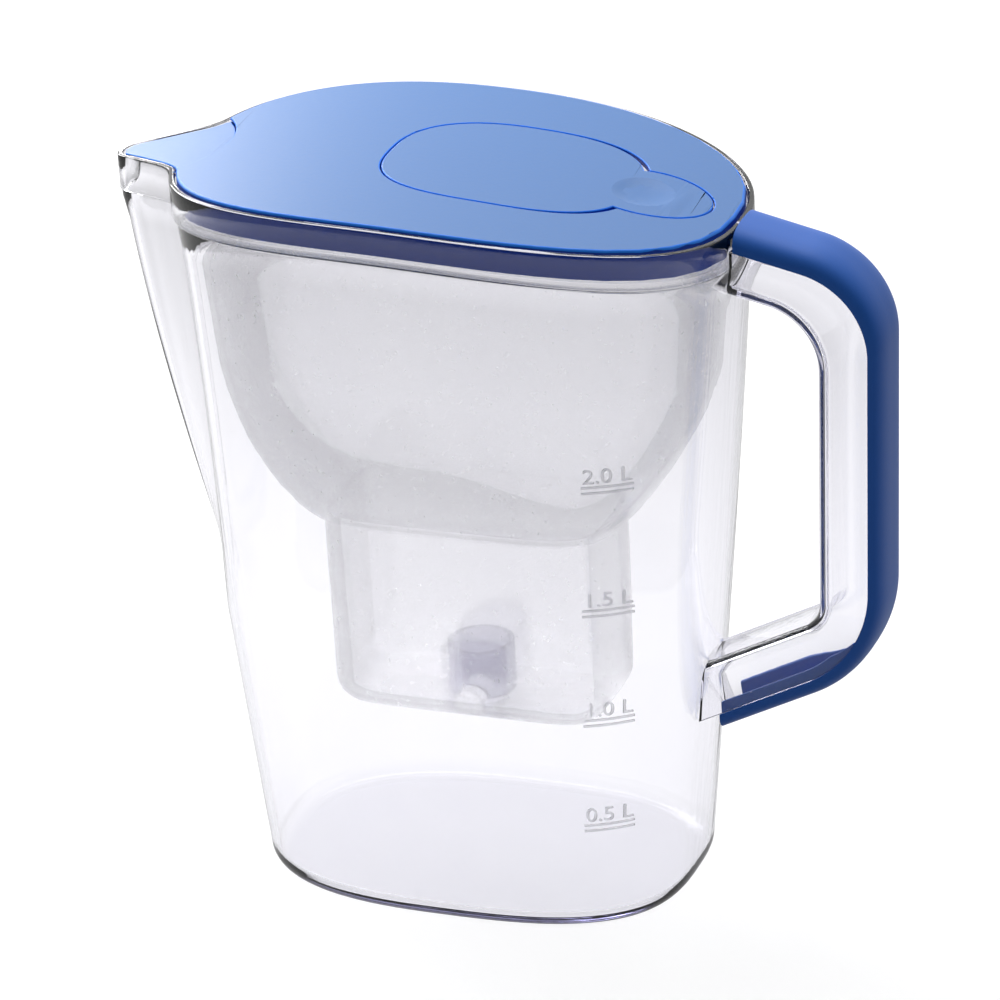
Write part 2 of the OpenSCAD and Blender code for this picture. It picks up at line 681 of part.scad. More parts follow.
// The ledge inside the opening that the closed flap lies on
module flap_seat() {
    difference() {
        intersection() {
            block() difference() {
                flap_oval(flap_gap + skirt_t);
                flap_oval(-seat_w);
                translate([seat_end_x, -rim_half_w]) square([2 * rim_half_w, 2 * rim_half_w]);
            }
            under_arch(lid_t - bite);
        }
        under_arch(flap_t + seat_gap + seat_t);
        difference() {
            block() flap_oval(flap_gap);
            under_arch(flap_t + seat_gap);
        }
    }
}

module lid_ring() {
    ring_inset = lid_inset + ring_set_back;
    color(lid_colour)
        difference() {
            intersection() {
                block() difference() {
                    oval_plan(ring_inset);
                    oval_plan(ring_inset + skirt_t);
                }
                under_arch(band_depth);
            }
            under_arch(ring_depth);
            step_cut(step_relief);
        }
}

// ---------------------------------------------------------------- fill flap

module fill_flap() {
    dimple_r = 40;
    dimple_depth = 0.9;
    dimple_x = 71.5;
    rib_t = 1.6;
    rib_depth = 4.6;
    rib_y = 10.5;
    rib_end_x = flap_x - flap_half_l + 6;
    color(lid_colour)
        difference() {
            union() {
                intersection() {
                    block() keyhole(0);
                    difference() {
                        under_arch(0);
                        under_arch(flap_t);
                    }
                }
                both_sides() {
                    translate(flap_axis) {
                        y_bar(pin_r, rib_y, flap_lug_y[1] - bite);
                        y_bar(knuckle_r, rib_y, flap_boss_y);
                    }
                    intersection() {
                        translate([rib_end_x, rib_y, block_low])
                            cube([flap_hinge_x - rib_end_x, rib_t, block_h]);
                        difference() {
                            under_arch(flap_t / 2);
                            under_arch(rib_depth);
                        }
                    }
                }
            }
            translate([dimple_x, 0, lid_h(dimple_x) + dimple_r - dimple_depth])
                sphere(r = dimple_r, $fn = 180);
        }
}

// ---------------------------------------------------------------- spout flap

module spout_flap() {
    color(lid_colour)
        union() {
            difference() {
                intersection() {
                    block() rim_outline(lid_inset);
                    step_cut(-spout_flap_gap);
                    under_arch(spout_flap_drop);
                }
                under_arch(spout_flap_drop + spout_flap_t);
                both_sides() translate([spout_axis[0] - spout_knuckle_r, spout_corner_y, block_low])
                    cube([step_r, step_r, block_h]);
            }
            both_sides() translate(spout_axis) y_bar(spout_pin_r, spout_pin_y[0], spout_pin_y[1]);
        }
}

jug_shell();
handle_frame();
handle_grip();
level_marks();
funnel_bowl();
guide_tube();
lid_cover();
lid_ring();
fill_flap();
spout_flap();
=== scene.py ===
import math

import bmesh
import bpy
from mathutils import Matrix, Vector


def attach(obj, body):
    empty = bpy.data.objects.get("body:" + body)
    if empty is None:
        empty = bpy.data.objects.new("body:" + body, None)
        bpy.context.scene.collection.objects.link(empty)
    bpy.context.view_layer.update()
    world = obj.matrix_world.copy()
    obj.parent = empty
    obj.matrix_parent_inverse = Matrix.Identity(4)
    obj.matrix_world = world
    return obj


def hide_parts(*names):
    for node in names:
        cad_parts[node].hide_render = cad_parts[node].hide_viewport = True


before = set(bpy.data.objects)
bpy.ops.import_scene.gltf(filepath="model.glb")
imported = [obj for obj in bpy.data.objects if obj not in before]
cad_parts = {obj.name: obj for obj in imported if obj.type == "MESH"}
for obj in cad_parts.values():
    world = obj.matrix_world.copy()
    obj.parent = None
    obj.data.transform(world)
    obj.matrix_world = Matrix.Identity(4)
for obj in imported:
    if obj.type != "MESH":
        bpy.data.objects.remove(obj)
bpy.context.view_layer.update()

# ---------------------------------------------------------------- studio
# A plain white table under a wide softbox from above and behind, with a smaller one from behind on
# the spout's side. The camera has a long lens and looks a little down from the handle's side.
sheet = bpy.context.scene
sheet.view_settings.view_transform = "Standard"

camera_right = Vector((0.9382, 0.3421, -0.0520))
camera_up = Vector((-0.0998, 0.4115, 0.9059))
camera_forward = Vector((-0.3314, 0.8447, -0.4202))
lens = bpy.data.cameras.new("camera")
lens.sensor_width = 36
lens.lens = 216.05
lens.clip_end = 20
camera = bpy.data.objects.new("camera", lens)
turn = Matrix((camera_right, camera_up, -camera_forward)).transposed()
camera.matrix_world = Matrix.Translation((0.65891, -1.65199, 0.95245)) @ turn.to_4x4()
sheet.collection.objects.link(camera)
sheet.camera = camera


def softbox(name, place, aim, width, height, power):
    """A rectangular area light at a place, turned towards its aim."""
    light = bpy.data.lights.new(name, "AREA")
    light.shape = "RECTANGLE"
    light.size = width
    light.size_y = height
    light.energy = power
    lamp = bpy.data.objects.new(name, light)
    lamp.location = place
    lamp.rotation_euler = (Vector(aim) - Vector(place)).to_track_quat("-Z", "Y").to_euler()
    sheet.collection.objects.link(lamp)


softbox("overhead", (-0.2, 0.45, 1.2), (0, 0, 0.15), 1.1, 0.8, 8)
softbox("back_left", (-0.59, 0.46, 0.59), (-0.06, -0.02, 0.25), 0.5, 0.45, 5.4)


def wire(tree, kind, links=(), **values):
    """One node, with its plain values set and its inputs joined to (socket, source) pairs."""
    made = tree.nodes.new(kind)
    for name, value in values.items():
        setattr(made, name, value)
    for socket, source in links:
        if isinstance(source, bpy.types.NodeSocket):
            tree.links.new(source, made.inputs[socket])
        else:
            made.inputs[socket].default_value = source
    return made


def ranged(tree, value, low, high, start, end, curve="LINEAR"):
    """A value between low and high, brought to the same place between start and end."""
    links = [(0, value), (1, low), (2, high), (3, start), (4, end)]
    return wire(tree, "ShaderNodeMapRange", links, interpolation_type=curve).outputs[0]


def reckon(tree, operation, *values):
    """The result of one sum, over two values or three."""
    return wire(tree, "ShaderNodeMath", list(enumerate(values)), operation=operation).outputs[0]


# The room is bright behind and above the table and dark on the camera's side of it
world = bpy.data.worlds.new("studio")
world.use_nodes = True
room = world.node_tree
room.nodes.clear()
path = wire(room, "ShaderNodeLightPath")
sky = wire(room, "ShaderNodeTexCoord")
toward = wire(room, "ShaderNodeSeparateXYZ", [(0, sky.outputs["Generated"])])
behind = ranged(room, toward.outputs["Y"], -0.45, 0.55, 0.0, 1.0, "SMOOTHSTEP")
above = ranged(room, toward.outputs["Z"], 0.1, 0.95, 0.0, 1.0)


def level(dark, back, top):
    """A brightness from what the room's dark side, its back and its ceiling each give."""
    below_ceiling = reckon(room, "MULTIPLY_ADD", behind, back, dark)
    return reckon(room, "MULTIPLY_ADD", above, top, below_ceiling)


def pick(test, otherwise, then):
    """One brightness for the rays that a light path test names, and another for the rest."""
    return wire(room, "ShaderNodeMix", [(0, path.outputs[test]), (2, otherwise), (3, then)]).outputs[0]


on_surfaces = level(0.08, 0.25, 0.45)
in_reflections = level(0.02, 1.15, 0.35)
through_plastic = level(0.45, 0.5, 0.0)
seen = pick("Is Glossy Ray", on_surfaces, in_reflections)
seen = pick("Is Transmission Ray", seen, through_plastic)
seen = pick("Is Camera Ray", seen, 1.0)
room_light = wire(room, "ShaderNodeBackground", [("Color", (1, 1, 1, 1)), ("Strength", seen)])
wire(room, "ShaderNodeOutputWorld", [("Surface", room_light.outputs[0])])
sheet.world = world


def finish(name, colour, **sockets):
    """A Principled material with its constants on its own sockets."""
    material = bpy.data.materials.new(name)
    material.use_nodes = True
    shader = material.node_tree.nodes["Principled BSDF"]
    shader.inputs["Base Color"].default_value = (*colour, 1)
    for socket, value in sockets.items():
        shader.inputs[socket.replace("_", " ")].default_value = value
    return material, material.node_tree, shader


# Sizes are in millimetres, as in part.scad, and become metres when a mesh is made
mm, to_mm = 0.001, 1000


def mesh_piece(name, points, faces, material):
    """A mesh object from points in millimetres, with its normals made to face outwards."""
    mesh = bpy.data.meshes.new(name)
    mesh.from_pydata([[c * mm for c in p] for p in points], [], faces)
    work = bmesh.new()
    work.from_mesh(mesh)
    bmesh.ops.remove_doubles(work, verts=work.verts, dist=1e-7)
    bmesh.ops.recalc_face_normals(work, faces=work.faces)
    work.to_mesh(mesh)
    work.free()
    mesh.materials.append(material)
    piece = bpy.data.objects.new(name, mesh)
    sheet.collection.objects.link(piece)
    return piece


def soften(piece, angle):
    """Smooth shading that breaks at edges sharper than an angle in degrees."""
    mesh = piece.data
    mesh.polygons.foreach_set("use_smooth", [True] * len(mesh.polygons))
    mesh.set_sharp_from_angle(angle=math.radians(angle))


def settle(piece):
    """Turns a piece and its modifiers into a plain mesh."""
    graph = bpy.context.evaluated_depsgraph_get()
    mesh = bpy.data.meshes.new_from_object(piece.evaluated_get(graph))
    piece.modifiers.clear()
    old = piece.data
    piece.data = mesh
    bpy.data.meshes.remove(old)


grain = bpy.data.node_groups.new("moulding_grain", "ShaderNodeTree")
grain_inputs = (("Vector", "NodeSocketVector"), ("Scale", "NodeSocketFloat"), ("Depth", "NodeSocketFloat"))
grain_outputs = (("Spread", "NodeSocketFloat"), ("Normal", "NodeSocketVector"))
for way, sockets in (("INPUT", grain_inputs), ("OUTPUT", grain_outputs)):
    for socket, kind in sockets:
        grain.interface.new_socket(socket, in_out=way, socket_type=kind)
given = wire(grain, "NodeGroupInput").outputs
noise = wire(grain, "ShaderNodeTexNoise", [("Vector", given["Vector"]), ("Scale", given["Scale"]),
                                           ("Detail", 3.0)])
bump = wire(grain, "ShaderNodeBump", [("Height", noise.outputs["Fac"]), ("Distance", given["Depth"]),
                                      ("Strength", 1.0)])
wire(grain, "NodeGroupOutput", [("Spread", noise.outputs["Fac"]), ("Normal", bump.outputs[0])])


def moulded_surface(tree, shader, stretch, scale, depth, colours, roughness):
    """Gives a plastic the faint unevenness of a moulding: in its colour, its gloss and its surface."""
    place = wire(tree, "ShaderNodeTexCoord")
    stretched = wire(tree, "ShaderNodeMapping", [("Vector", place.outputs["Object"]), ("Scale", stretch)])
    group = tree.nodes.new("ShaderNodeGroup")
    group.node_tree = grain
    tree.links.new(stretched.outputs[0], group.inputs["Vector"])
    group.inputs["Scale"].default_value = scale
    group.inputs["Depth"].default_value = depth
    spread = group.outputs["Spread"]
    colour = wire(tree, "ShaderNodeMix", [("Factor", spread)], data_type="RGBA")
    for socket, end in zip("AB", colours):
        colour.inputs[socket].default_value = (*end, 1)
    gloss = ranged(tree, spread, 0.0, 1.0, *roughness)
    tree.links.new(colour.outputs["Result"], shader.inputs["Base Color"])
    tree.links.new(gloss, shader.inputs["Roughness"])
    tree.links.new(group.outputs["Normal"], shader.inputs["Normal"])


# The table glows to the camera, so it is white but keeps the shadow. Through plastic it glows in a
# band under the object that fades to the front and to the back.
table_white, table_tree, table_shader = finish("table_white", (0.3, 0.3, 0.3), Roughness=0.8)
floor_half, floor_z = 3.0, -0.0004
camera_glow, mirror_glow, plastic_glow = 0.76, 0.3, 0.43
floor_corners = [(x * floor_half, y * floor_half, floor_z) for x, y in ((-1, -1), (1, -1), (1, 1), (-1, 1))]
floor_mesh = bpy.data.meshes.new("floor")
floor_mesh.from_pydata(floor_corners, [], [(0, 1, 2, 3)])
floor_mesh.materials.append(table_white)
floor = bpy.data.objects.new("floor", floor_mesh)
sheet.collection.objects.link(floor)
floor_path = wire(table_tree, "ShaderNodeLightPath").outputs
floor_spot = wire(table_tree, "ShaderNodeTexCoord").outputs["Object"]
floor_y = wire(table_tree, "ShaderNodeSeparateXYZ", [(0, floor_spot)]).outputs["Y"]
lit_front = ranged(table_tree, floor_y, -0.55, -0.05, 0.0, plastic_glow, "SMOOTHSTEP")
lit_back = ranged(table_tree, floor_y, 0.1, 0.6, 1.0, 0.0, "SMOOTHSTEP")
band = reckon(table_tree, "MULTIPLY", lit_front, lit_back)
glow = reckon(table_tree, "MULTIPLY", floor_path["Is Transmission Ray"], band)
glow = reckon(table_tree, "MULTIPLY_ADD", floor_path["Is Glossy Ray"], mirror_glow, glow)
glow = reckon(table_tree, "MULTIPLY_ADD", floor_path["Is Camera Ray"], camera_glow, glow)
table_shader.inputs["Emission Color"].default_value = (1, 1, 1, 1)
table_tree.links.new(glow, table_shader.inputs["Emission Strength"])
moulded_surface(table_tree, table_shader, (1, 1, 1), 3.0, 0.0002,
                ((0.29, 0.29, 0.29), (0.31, 0.31, 0.31)), (0.75, 0.85))

# ---------------------------------------------------------------- clear jug
# One moulding of clear, faintly lavender plastic: a tapering oval body that grows a spout, a collar
# for the lid with a ledge inside it, and a C-shaped handle channel that is open on its outer side.
rim_h, arch_r, arch_x = 250.0, 570.0, 24.0
base_front, base_back, base_half_w, base_round = 72.3, 74.2, 51.0, 7.0
rim_back, rim_front, rim_half_w = 98.0, 89.5, 63.5
wall, floor_t, collar_wall, collar_step, ledge_depth = 2.4, 3.6, 2.0, 1.5, 12.0
nose_step, back_step = 0.6, 0.4
nose_turns, back_turns = (12, 20), (130, 160)
spout_reach, spout_angle, spout_nose_r = 114.7, math.radians(29.8), 7.9
spout_start_h, spout_full_h, spout_ease = 93.0, 224.0, 1.8
spout_sector = math.radians(60)
front_swell = 10.5
wall_front, wall_n_front, wall_bulge, neck_blend = rim_front + front_swell, 2.1, 1.12, 50
base_n_front, base_n_back, rim_n_front, rim_n_back = 2.54, 2.85, 2.6, 2.4
rim_oval = (rim_front, rim_back, rim_half_w, rim_n_front, rim_n_back)
base_oval = (base_front, base_back, base_half_w, base_n_front, base_n_back)
wall_oval = (wall_front, rim_back - back_step, rim_half_w - collar_step, wall_n_front, rim_n_back)
wall_top_h = rim_h - ledge_depth - wall
column_drop = ledge_depth + 4
arch_z = rim_h - arch_r
slope_step = math.radians(0.5)
# The points of a ring stand closest together at the spout
jug_turns, spout_crowding = 320, math.radians(32)
around = []
for i in range(jug_turns):
    even = 2 * math.pi * i / jug_turns
    around.append(even + spout_crowding * math.sin(even))


def arch_h(x):
    """Height of the arch that the rim and the lid follow from spout to handle."""
    return arch_z + math.sqrt(arch_r ** 2 - (x + arch_x) ** 2)


def mix(a, b, t):
    return a + (b - a) * t


def ramp(x, start, end):
    return min(max((x - start) / (end - start), 0.0), 1.0)


def oval(o, a):
    """Reach at one angle of a superellipse with its own reach and power to the front and back."""
    c, s = math.cos(a), math.sin(a)
    reach, n = (o[0], o[3]) if c < 0 else (o[1], o[4])
    return ((abs(c) / reach) ** n + (abs(s) / o[2]) ** n) ** (-1 / n)


def from_spout(a):
    return abs((a % (2 * math.pi)) - math.pi)


nose_c = spout_reach - spout_nose_r
spout_apex = nose_c + spout_nose_r / math.sin(spout_angle)
nose_end = math.atan2(spout_nose_r * math.cos(spout_angle), nose_c + spout_nose_r * math.sin(spout_angle))


def spout_plan(a):
    """Reach of the spout's plan: a round nose between two straight sides."""
    f = from_spout(a)
    if f > spout_sector:
        return 1.0
    if f < nose_end:
        return nose_c * math.cos(f) + math.sqrt(spout_nose_r ** 2 - (nose_c * math.sin(f)) ** 2)
    return spout_apex * math.sin(spout_angle) / math.sin(f + spout_angle)


def rim_plan(a):
    """Reach of the rim: the oval and the spout, blended where they meet."""
    o = oval(rim_oval, a)
    return o * (1 + (spout_plan(a) / o) ** neck_blend) ** (1 / neck_blend)


def inset(plan, a, d):
    """Reach of a plan after a true distance inwards."""
    r = plan(a)
    slope = (plan(a + slope_step) - plan(a - slope_step)) / (2 * slope_step * r)
    return r - d * math.sqrt(1 + slope * slope)


def step_at(a):
    """How far the wall stands inside the collar."""
    f = math.degrees(from_spout(a))
    return mix(mix(nose_step, collar_step, ramp(f, *nose_turns)), back_step, ramp(f, *back_turns))


def spout_share(z):
    return 1 - (1 - ramp(z, spout_start_h, spout_full_h)) ** spout_ease


def back_share(z):
    return 1 - (1 - ramp(z, 0, wall_top_h)) ** wall_bulge


def wall_plan(a, z):
    """Reach of the jug's wall at a height: from the base's oval to the collar's with its spout."""
    o = [mix(p, q, z / wall_top_h) for p, q in zip(base_oval, wall_oval)]
    o[1] = mix(base_back, wall_oval[1], back_share(z))
    return oval(o, a) + spout_share(z) * (inset(rim_plan, a, step_at(a)) - oval(wall_oval, a))


def inset_wall(a, z, d):
    return inset(lambda b: wall_plan(b, z), a, d)


def rim_z(a):
    return arch_h(rim_plan(a) * math.cos(a))


def column_z(a, z):
    """A height on the wall, scaled so that the rings lie level at the base and arched at the top."""
    return z * (rim_z(a) - column_drop) / (rim_h - column_drop)


def polar(r, a, z):
    return (r * math.cos(a), r * math.sin(a), z)


def skin(rings, endless=False):
    """Points and faces over rings of equal length, with capped ends or, endless, joined to a loop."""
    n = len(rings[0])
    points = [p for ring in rings for p in ring]
    faces = []
    for i in range(len(rings) if endless else len(rings) - 1):
        up = (i + 1) % len(rings)
        for j in range(n):
            k = (j + 1) % n
            faces.append((i * n + j, i * n + k, up * n + k, up * n + j))
    if not endless:
        last = (len(rings) - 1) * n
        faces.append(tuple(reversed(range(n))))
        faces.append(tuple(range(last, last + n)))
    return points, faces


def bottom_ring(turn, d, lift, r):
    inwards = d + r * (1 - math.sin(turn))
    z = lift + r * (1 - math.cos(turn))
    return [polar(inset_wall(a, lift + r, inwards), a, z) for a in around]


def wall_ring(z, d):
    return [polar(inset_wall(a, column_z(a, z), d), a, column_z(a, z)) for a in around]


def collar_ring(d, drop):
    return [polar(inset(rim_plan, a, d), a, rim_z(a) - drop) for a in around]


def ledge_ring(d, drop):
    return [polar(inset(rim_plan, a, step_at(a) + d), a, rim_z(a) - drop) for a in around]


round_turns = [math.radians(9 * i) for i in range(11)]
levels, highest = 56, 0.965 * wall_top_h
wall_levels = [mix(base_round + 1.0, highest, i / levels) for i in range(levels + 1)]

outside = [bottom_ring(t, 0, 0, base_round) for t in round_turns]
outside += [[polar(wall_plan(a, column_z(a, z)), a, column_z(a, z)) for a in around] for z in wall_levels]
outside += [ledge_ring(0, ledge_depth + wall), ledge_ring(0, ledge_depth + 0.6)]
outside += [collar_ring(0.15, ledge_depth + 0.1), collar_ring(0, ledge_depth - 0.2)]
# The lip's outer edge is rounded, in steps of an inset and a drop
outside += [collar_ring(d, drop) for d, drop in ((0, 0.55), (0.12, 0.22), (0.4, 0.02), (0.75, 0))]
for share in (0.9, 0.6, 0.3, 0.05):
    outside.append([polar(rim_plan(a) * share, a, arch_h(rim_plan(a) * share * math.cos(a))) for a in around])

inside = [bottom_ring(t, wall, floor_t, base_round - wall) for t in round_turns]
inside += [wall_ring(z, wall) for z in wall_levels[1:]]
inside += [ledge_ring(wall, ledge_depth + 0.3), ledge_ring(wall - 0.15, ledge_depth)]
inside.append(collar_ring(collar_wall, ledge_depth))
inside += [collar_ring(collar_wall - d, drop) for d, drop in ((0, 0.5), (0.12, 0.2), (0.5, 0.0), (0.55, -3))]

# The handle's outer face runs along three lines, and a depth counts inwards from each
handle_half = 12.5
handle_top, handle_low = Vector((146.8, 224.4)), Vector((143.3, 90.6))
top_angle, low_angle = math.radians(13.2), math.radians(26.8)
top_dir = Vector((-math.cos(top_angle), math.sin(top_angle)))
low_dir = Vector((-math.cos(low_angle), -math.sin(low_angle)))
side_dir = (handle_top - handle_low).normalized()
handle_top_r, handle_low_r = 32.0, 44.0
grip_depth, frame_depth, arm_depth, frame_wall = 4.7, 17.1, 15.7, 2.6
frame_top_r, frame_low_r = 21.0, 10.0
top_steps, corner_steps, side_steps, low_steps = 8, 28, 12, 10


def meet(p, u, q, v):
    """Where a line through p along u meets a line through q along v."""
    return p + u * ((q - p).cross(v) / u.cross(v))


def on_top(depth):
    return handle_top - Vector((0, depth / math.cos(top_angle)))


def on_low(depth):
    return handle_low + Vector((0, depth / math.cos(low_angle)))


def on_side(depth):
    return handle_top + depth * Vector((-side_dir.y, side_dir.x))


def corner_arc(p, c, q, r):
    """Points of the arc that rounds the corner c between p and q."""
    u, v = (p - c).normalized(), (q - c).normalized()
    half = u.angle(v) / 2
    m = c + (u + v).normalized() * (r / math.sin(half))
    start, end = c + u * (r / math.tan(half)) - m, c + v * (r / math.tan(half)) - m
    way = 1 if start.cross(end) > 0 else -1
    out = []
    for i in range(corner_steps + 1):
        t = way * (math.pi - 2 * half) * i / corner_steps
        out.append(m + Vector((start.x * math.cos(t) - start.y * math.sin(t),
                               start.x * math.sin(t) + start.y * math.cos(t))))
    return out


def handle_line(depths, radii, ends):
    """Side view of the handle from the upper arm's end to the lower arm's, at given end reaches."""
    b = meet(on_top(depths[0]), top_dir, on_side(depths[1]), side_dir)
    c = meet(on_low(depths[2]), low_dir, on_side(depths[1]), side_dir)
    a = b + top_dir * ((b.x - ends[0]) / -top_dir.x)
    e = c + low_dir * ((c.x - ends[1]) / -low_dir.x)
    first, second = corner_arc(a, b, c, radii[0]), corner_arc(b, c, e, radii[1])
    upper = [a.lerp(first[0], i / top_steps) for i in range(top_steps)]
    straight = [first[-1].lerp(second[0], i / side_steps) for i in range(1, side_steps)]
    lower = [second[-1].lerp(e, i / low_steps) for i in range(1, low_steps + 1)]
    return upper + first + straight + second + lower


def outer_line(depth, ends):
    return handle_line((depth, depth, depth), (handle_top_r - depth, handle_low_r - depth), ends)


arm, whole = grip_depth + arm_depth, grip_depth + frame_depth
# The arms' ends lie inside the jug's wall, at these distances from its middle
buried = (90.0, 72.0)
corner_out, corner_in = 4.6, 2.4


def channel_line(rise, wall_in=0.0):
    """Side view of the channel a rise above its inner face, whose corners blend towards the seam's."""
    share = rise / frame_depth
    depths = (mix(arm, grip_depth, share) - wall_in, mix(whole, grip_depth, share) - wall_in,
              mix(whole, grip_depth, share) - wall_in)
    radii = (mix(frame_top_r, handle_top_r - grip_depth, share) + wall_in,
             mix(frame_low_r, handle_low_r - grip_depth, share) + wall_in)
    return handle_line(depths, radii, buried)


def quarter(r, half):
    """One rounded corner of the channel's section, as (rise, half width) from its side to its face."""
    turns = [math.radians(15 * i) for i in range(7)]
    return [(r * (1 - math.sin(t)), half - r * (1 - math.cos(t))) for t in turns]


channel_half = handle_half - frame_wall
outer_half = [(frame_depth, handle_half)] + quarter(corner_out, handle_half)
inner_half = [(frame_depth, channel_half)] + quarter(corner_in, channel_half)
outer_lines = [(channel_line(h), y) for h, y in outer_half]
inner_lines = [(channel_line(h, frame_wall if h < frame_depth else 0.0), y) for h, y in inner_half]
frame_section = (outer_lines + [(line, -y) for line, y in reversed(outer_lines)] +
                 [(line, -y) for line, y in inner_lines] + inner_lines[::-1])
frame_rings = [[(line[k].x, y, line[k].y) for line, y in frame_section]
               for k in range(len(frame_section[0][0]))]

clear_plastic, clear_tree, clear_shader = finish(
    "clear_plastic", (0.98, 0.978, 0.99), Roughness=0.0, IOR=1.5, Transmission_Weight=1.0)
moulded_surface(clear_tree, clear_shader, (1, 1, 0.06), 60, 0.00012,
                ((0.96, 0.958, 0.975), (0.99, 0.989, 0.995)), (0.0, 0.02))
depth_tint = wire(clear_tree, "ShaderNodeVolumeAbsorption",
                  [("Color", (0.30, 0.28, 0.56, 1)), ("Density", 20.0)])
clear_tree.links.new(depth_tint.outputs[0], clear_tree.nodes["Material Output"].inputs["Volume"])


def let_light_through(tree, shader, share, solid=1.0):
    """Lets a share of the light through for shadow and diffuse rays, out of a plastic's solid part."""
    path = wire(tree, "ShaderNodeLightPath").outputs
    either = reckon(tree, "MAXIMUM", path["Is Shadow Ray"], path["Is Diffuse Ray"])
    tree.links.new(reckon(tree, "MULTIPLY_ADD", either, -share, solid), shader.inputs["Alpha"])


let_light_through(clear_tree, clear_shader, 0.9)
body = mesh_piece("clear_jug", *skin(outside), clear_plastic)
handle_channel = mesh_piece("handle_channel", *skin(frame_rings), clear_plastic)
hollow = mesh_piece("jug_hollow", *skin(inside), clear_plastic)
bevel = handle_channel.modifiers.new("edges", "BEVEL")
bevel.width = 0.0004
bevel.segments = 2
bevel.limit_method = "ANGLE"
bevel.angle_limit = math.radians(50)
settle(handle_channel)
for tool, how in ((handle_channel, "UNION"), (hollow, "DIFFERENCE")):
    cut = body.modifiers.new(how, "BOOLEAN")
    cut.object = tool
    cut.operation = how
    cut.solver = "MANIFOLD"
    settle(body)
    bpy.data.objects.remove(tool)
soften(body, 32)
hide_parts("jug_shell", "handle_frame")
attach(body, "jug")

# ---------------------------------------------------------------- grip cover
# A shell of soft-touch blue plastic with a domed face, snapped over the open side of the channel by
# rails inside it. It stops a little short of the jug's wall at its lower end.
grip_n, grip_t = 2.9, 2.4
grip_inner = channel_half - 0.05
grip_blue, grip_tree, grip_shader = finish(
    "grip_blue", (0.008, 0.11, 0.50), Roughness=0.5, IOR=1.45, Specular_IOR_Level=0.4,
    Sheen_Weight=0.1, Sheen_Roughness=0.5)
moulded_surface(grip_tree, grip_shader, (1, 1, 1), 900, 0.00002,
                ((0.007, 0.105, 0.48), (0.009, 0.115, 0.52)), (0.46, 0.56))
grip_ends = (rim_back + 0.3, 87.8)
dome_steps, dome_turn = 20, 86
dome = []
for i in range(dome_steps + 1):
    t = math.radians(dome_turn * i / dome_steps)
    dome.append((grip_depth * (1 - math.sin(t) ** (2 / grip_n)), handle_half * math.cos(t) ** (2 / grip_n)))
grip_section = (dome + [(d, -y) for d, y in reversed(dome)] +
                [(grip_depth, -grip_inner), (grip_t, -grip_inner), (grip_t, grip_inner),
                 (grip_depth, grip_inner)])
arm_swell, low_swell = 7.06 / grip_depth, 6.0 / grip_depth


def grip_line(d):
    """Side view of one depth of the cover, which stands higher over its arms than its upright."""
    depths = (grip_depth - (grip_depth - d) * arm_swell, d, grip_depth - (grip_depth - d) * low_swell)
    return handle_line(depths, (handle_top_r - d, handle_low_r - d), grip_ends)


grip_lines = {d: grip_line(d) for d, y in grip_section}
grip_rings = [[(grip_lines[d][k].x, y, grip_lines[d][k].y) for d, y in grip_section]
              for k in range(len(grip_lines[grip_t]))]
grip = mesh_piece("grip_cover", *skin(grip_rings), grip_blue)
soften(grip, 40)
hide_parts("handle_grip")
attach(grip, "jug")

# ---------------------------------------------------------------- snap rails
# One rail along each side inside the cover's lower arm, moulded on the cover and seen through the
# clear channel. Each starts low in the bend and reaches its full height further along the arm.
rail_deep, rail_rise, rail_low, rail_t, rail_gap = 1.7, 6.6, 1.0, 1.5, 0.1
rail_start, rail_full = 54, 68
rail_base = outer_line(rail_deep, grip_ends)
rail_rings = []
for k in range(rail_start, len(rail_base)):
    rise = rail_low + (rail_rise - rail_low) * ramp(k, rail_start, rail_full)
    top = outer_line(rail_deep + rise, grip_ends)[k]
    corners = ((rail_base[k], rail_gap), (top, rail_gap), (top, rail_t), (rail_base[k], rail_t))
    rail_rings.append([(q.x, channel_half - t, q.y) for q, t in corners])
rail_points, rail_faces = skin(rail_rings)
rail_faces += [tuple(len(rail_points) + k for k in reversed(face)) for face in rail_faces]
rail_points += [(x, -y, z) for x, y, z in rail_points]
rails = mesh_piece("grip_snap_rails", rail_points, rail_faces, grip_blue)
bevel = rails.modifiers.new("edges", "BEVEL")
bevel.width = 0.0004
bevel.segments = 3
settle(rails)
soften(rails, 40)
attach(rails, "jug")

# ---------------------------------------------------------------- funnel
# A lift-out funnel of frosted plastic that hangs on the jug's ledge by its flange. Its bowl closes in
# to a pocket for the filter cartridge, with a hole in the pocket's floor under the guide tube.
funnel_gap, funnel_wall, flange_t, seat_gap, lid_gap = 3.0, 1.8, 2.4, 0.3, 0.5
bowl_h, shoulder_h, pocket_h, pocket_round, pocket_n = 186.0, 128.0, 61.0, 9.0, 5
bowl_curve, pocket_draft = 1.35, 0.5
bowl_front_gap, bowl_back_gap, bowl_side_gap = 10.5, 1.0, 12.5
flange_round, neck_round = 0.2, 0.3
pocket_oval = (45.0, 50.3, 26.0, pocket_n, pocket_n)
tube_x, tube_outer_r, tube_bore_r = 1.5, 11.1, 9.4
hole_r = (tube_outer_r + tube_bore_r) / 2
wall_back = mix(base_back, rim_back - back_step, back_share(bowl_h))
bowl_oval = (rim_front - bowl_front_gap, wall_back - wall - funnel_gap - bowl_back_gap,
             rim_half_w - bowl_side_gap, rim_n_front, rim_n_back)
flange_inset = collar_wall + lid_gap
neck_inset = flange_inset + collar_step + funnel_gap


def oval_z(a):
    """Height of the flange's underside, a seat gap above the jug's ledge."""
    return arch_h(oval(rim_oval, a) * math.cos(a)) - ledge_depth + seat_gap


def funnel_ring(o, z, d):
    return [polar(inset(lambda b: oval(o, b), a, d), a, z) for a in around]


